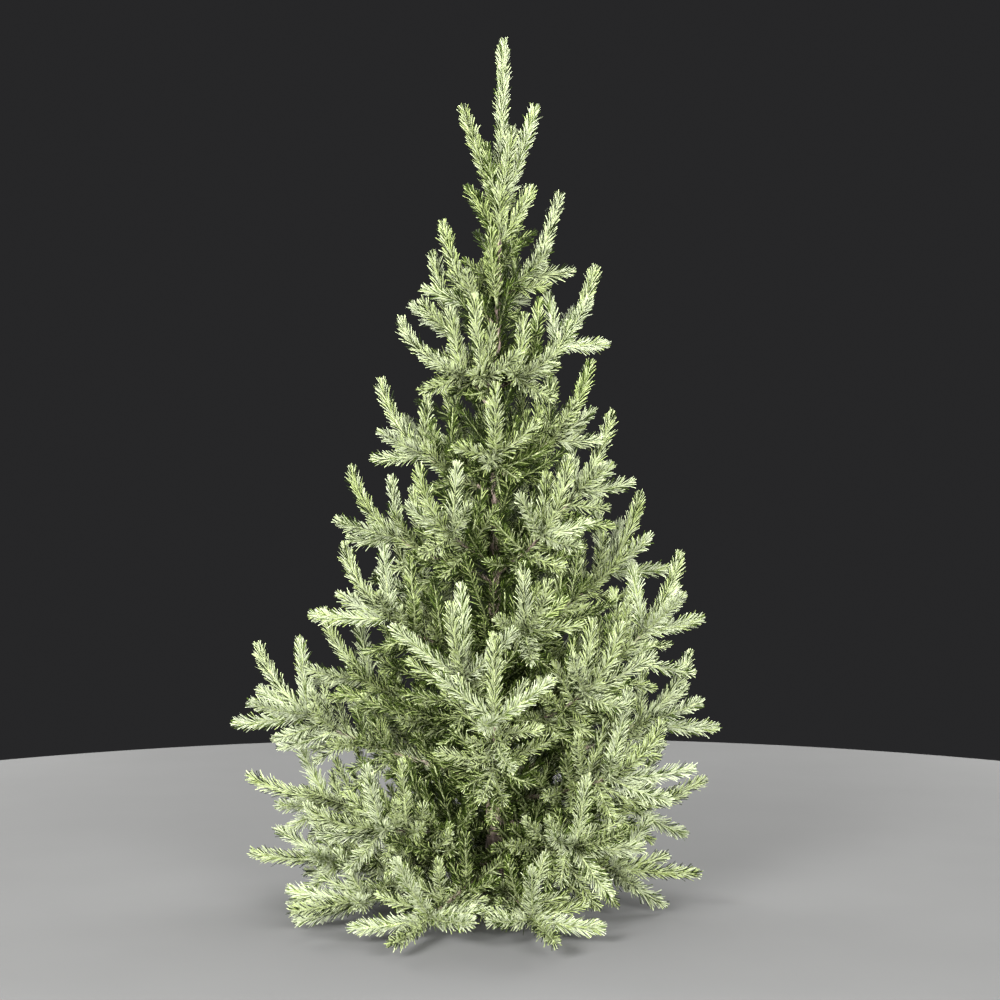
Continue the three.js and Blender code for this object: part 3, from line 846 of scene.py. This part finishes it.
# How far out in the crown a shoot stands: 0 at the trunk and 1 at the outline.
def outerShare(line):
    middle = line[len(line) // 2]
    reach = np.interp(middle[2], tintRule["heights"], tintRule["outline"])
    return min(tintRule["pastOutline"], float(np.linalg.norm(middle[:2]) / reach))


# The tint that most of a shoot's needles take, from 0, new, to 5, shade; it darkens towards the trunk as
# painted shade inside the crown.
def tintOf(shoot, number):
    outer = 1 if shoot["kind"] == "leader" else outerShare(shoot["line"])
    value = mix(tintRule["inside"], tintRule["outside"], outer) + tintRule["spread"] * spread(number, 31)
    return value + tintRule["byKind"].get(shoot["kind"], 0)


# Where the needles of a shoot start, which way they point and how long they are.
def sprayOf(shoot, perMetre, random):
    line = shoot["line"]
    length = lineLength(line)
    kind = shoot["kind"]
    count = int(length * perMetre * needle["density"][kind])
    tuft = 0 if kind == "trunk" else needle["tuft"]
    shares = np.append((np.arange(count) + random.uniform(0, 1, count)) / count, np.ones(tuft))
    if kind == "bough":
        first = min(0.75, needle["boughFoot"] / length)
        shares = first + shares * (1 - first)
    if kind == "inner":
        shares = needle["innerFoot"] + shares * (1 - needle["innerFoot"])
    ahead = headingsAt(line, shares)
    level, top = crossings(ahead)
    count += tuft
    turn = np.arange(count) * needle["turn"] + random.normal(0, needle["turnSpread"], count)
    out = level * np.cos(turn)[:, None] + top * np.sin(turn)[:, None]
    nearTip = np.clip((shares * length - length + needle["tipRun"]) / needle["tipRun"], 0, 1)
    angle = mix(needle["rootAngle"], needle["outerAngle"], shares)
    angle = np.radians(mix(angle, needle["tipAngle"], nearTip**2))
    varied = angle + random.normal(0, needle["angleSpread"], count)
    opened = angle * random.uniform(0, needle["tuftOpening"], count)
    angle = np.where(shares < 1, varied, opened)
    way = ahead * np.cos(angle)[:, None] + out * np.sin(angle)[:, None]
    way = unit(way + upward * needle["lift"])
    size = needle["length"][kind] * (1 + random.normal(0, needle["lengthSpread"], count))
    size *= mix(1, needle["tipLength"], nearTip)
    places = pointsAt(line, shares)
    stem = trunkRadius(places[:, 2]) if kind == "trunk" else np.full(count, needle["stemRadius"])
    return places + out * stem[:, None], way, size


# A needle is a closed wedge of four faces: flat one way at its root, and the other way at its blunt tip.
def needleCorners(roots, ways, sizes, random):
    level, top = crossings(ways)
    turn = random.uniform(0, 2 * math.pi, len(roots))[:, None]
    across = (level * np.cos(turn) + top * np.sin(turn)) * needle["width"] / 2
    over = np.cross(ways, across) * needle["tipShare"]
    tips = roots + ways * sizes[:, None]
    return np.stack([roots - across, roots + across, tips + over, tips - over], axis=1).reshape(-1, 3)


def needleFaces(count):
    pattern = np.array([[0, 2, 1], [0, 1, 3], [0, 3, 2], [1, 2, 3]])
    return (np.arange(count)[:, None, None] * 4 + pattern).reshape(-1, 3)


def addNeedles():
    random = np.random.default_rng(needle["seed"])
    heights = np.linspace(needle["trunkFoot"], leader["foot"], 40)
    bearers = shoots + [{"line": trunkMiddle(heights), "kind": "trunk"}]
    weight = sum(lineLength(shoot["line"]) * needle["density"][shoot["kind"]] for shoot in bearers)
    perMetre = needle["count"] / weight
    tints = list(needleTints)
    sprays = {tint: [] for tint in tints}
    for number, shoot in enumerate(bearers):
        spray = sprayOf(shoot, perMetre, random)
        # Painted light and shade: each needle steps lighter or darker than its shoot's tint.
        dealt = tintOf(shoot, number) + random.choice(tintRule["lightAndShadeSteps"], len(spray[2]))
        dealt = np.clip(np.round(dealt), 0, len(tints) - 1)
        for place, tint in enumerate(tints):
            sprays[tint].append([part[dealt == place] for part in spray])
    print("needles on each metre of a side shoot:", round(perMetre * needle["density"]["side"]))
    for tint, found in sprays.items():
        roots, ways, sizes = (np.concatenate(list(part)) for part in zip(*found))
        above = (roots + ways * sizes[:, None])[:, 2] > needle["offGround"]
        roots, ways, sizes = roots[above], ways[above], sizes[above]
        material = needleMaterial(tint)
        pieces = math.ceil(len(roots) / needle["mostInPiece"])
        for part, chosen in enumerate(np.array_split(np.arange(len(roots)), pieces)):
            corners = needleCorners(roots[chosen], ways[chosen], sizes[chosen], random)
            faces = needleFaces(len(chosen))
            piece = makePiece(f"{tint}_{part + 1}", corners, faces, material, isSmooth=False)
            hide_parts(*foliageNodes)
        print(tint + ":", len(roots), "needles, meshes:", pieces)


addBark(barkMaterial())
addTwigWood("shoots", ["leader", "last", "bough", "side"], twigMaterial("newWood"))
addTwigWood("twigs", ["twig", "inner"], twigMaterial("olderWoodInShade"))
addNeedles()

studio = {
    "floor": (0.135, 0.135, 0.133, 1),
    "floorShade": 0.93,  # the darker tone of its patches
    "floorRadius": 3.4,
    "floorDrop": 0.0005,
    "backdrop": (0.020, 0.020, 0.021, 1),
    "cameraDistance": 5.0,
    "cameraHeight": 1.09,
    "cameraSide": 0.0136,
    "lens": 66.06,
    "lights": {  # place, size and power of each
        "keyLight": ((-2.8, -5.4, 2.7), 2.2, 1240),
        "fillLight": ((2.3, -5.2, 1.9), 2.6, 880),
        "topLight": ((0.3, 1.6, 4.4), 2.4, 150),
        "rearLeftLight": ((-3.6, 3.8, 2.6), 2.0, 360),
        "rearRightLight": ((3.6, 3.8, 2.6), 2.0, 360),
    },
    "lightsAim": (0, 0, 1.1),
}


def addFloor():
    material, tree, shader = newMaterial("floorpaint")
    place = addNode(tree, "ShaderNodeTexCoord")
    noise = addNode(tree, "ShaderNodeTexNoise", Scale=3, Detail=4)
    tone = addNode(tree, "ShaderNodeMix", data_type="RGBA")
    tone.inputs[6].default_value = studio["floor"]
    tone.inputs[7].default_value = tuple(studio["floorShade"] * part for part in studio["floor"][:3]) + (1,)
    shader.inputs["Roughness"].default_value = 0.9
    shader.inputs["Specular IOR Level"].default_value = 0
    tree.links.new(place.outputs["Object"], noise.inputs["Vector"])
    tree.links.new(noise.outputs["Fac"], tone.inputs[0])
    tree.links.new(tone.outputs[2], shader.inputs["Base Color"])
    bpy.ops.mesh.primitive_circle_add(vertices=128, radius=studio["floorRadius"], fill_type="NGON",
                                      location=(0, 0, -studio["floorDrop"]))
    floor = bpy.context.object
    floor.name = "floor"
    floor.data.materials.append(material)


def addLight(name, place, size, power):
    light = bpy.data.lights.new(name, "AREA")
    light.shape = "SQUARE"
    light.size = size
    light.energy = power
    lamp = bpy.data.objects.new(name, light)
    bpy.context.scene.collection.objects.link(lamp)
    lamp.location = place
    lamp.rotation_euler = (Vector(studio["lightsAim"]) - Vector(place)).to_track_quat("-Z", "Y").to_euler()


def addCamera():
    camera = bpy.data.cameras.new("camera")
    camera.lens = studio["lens"]
    camera.sensor_width = 36
    stand = bpy.data.objects.new("camera", camera)
    bpy.context.scene.collection.objects.link(stand)
    stand.location = (studio["cameraSide"], -studio["cameraDistance"], studio["cameraHeight"])
    stand.rotation_euler = (math.pi / 2, 0, 0)
    bpy.context.scene.camera = stand


def addBackdrop():
    world = bpy.data.worlds.new("studio")
    world.use_nodes = True
    world.node_tree.nodes["Background"].inputs["Color"].default_value = studio["backdrop"]
    world.node_tree.nodes["Background"].inputs["Strength"].default_value = 1
    bpy.context.scene.world = world
    bpy.context.scene.view_settings.view_transform = "Standard"


addFloor()
for name, (place, size, power) in studio["lights"].items():
    addLight(name, place, size, power)
addCamera()
addBackdrop()
print("floor, camera, backdrop and", len(studio["lights"]), "lights are in place")
